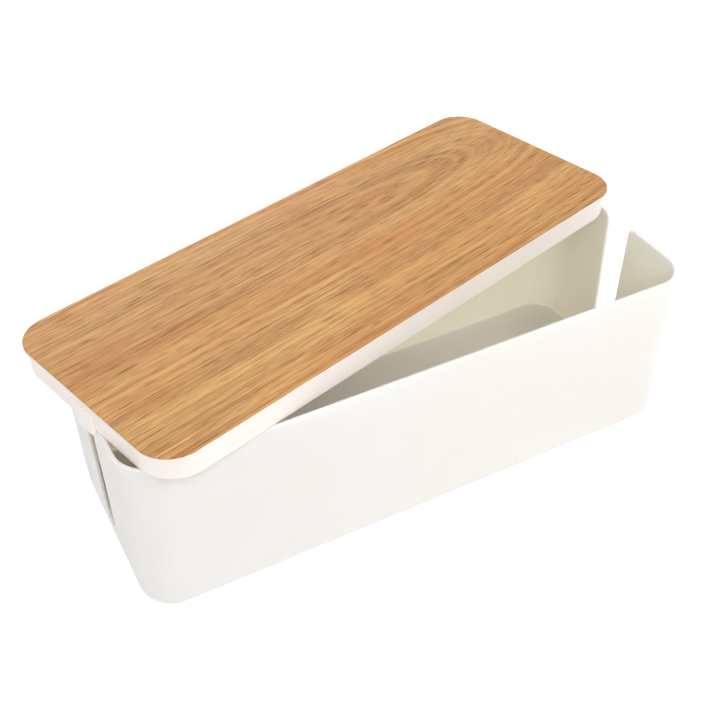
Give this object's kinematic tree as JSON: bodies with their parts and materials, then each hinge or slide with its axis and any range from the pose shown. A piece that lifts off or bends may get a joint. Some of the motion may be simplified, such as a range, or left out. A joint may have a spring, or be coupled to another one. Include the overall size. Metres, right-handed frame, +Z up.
{
  "type": "cable management box",
  "caption": "White moulded cable management box with a cable slot in each end and a wood-topped cap lid lying askew on its rim",
  "frame": {"origin": "on the surface the box stands on, under the middle of the lid, which is the middle of the whole object as it lies", "axes": "+X along the box towards the end that lies at the right of the picture, +Y across the box away from the viewer, +Z up"},
  "size_m": [0.4228, 0.2532, 0.1422],
  "materials": {
    "white_plastic": "satin white moulded plastic",
    "foot_rubber": "matt black rubber",
    "adhesive_film": "translucent double-sided film",
    "oak_wood": "satin oak with fine straight grain along its length"
  },
  "bodies": {
    "box": {"box_shell": "white_plastic", "foot_1": "foot_rubber", "foot_2": "foot_rubber", "foot_3": "foot_rubber", "foot_4": "foot_rubber"},
    "lid": {"lid_shell": "white_plastic", "panel_adhesive": "adhesive_film", "wood_panel": "oak_wood"}
  },
  "joints": [
    {"name": "lid_lift", "type": "slide", "parent": "box", "child": "lid", "axis": [0, 0, 1], "range_m": [0, 0.15]}
  ]
}
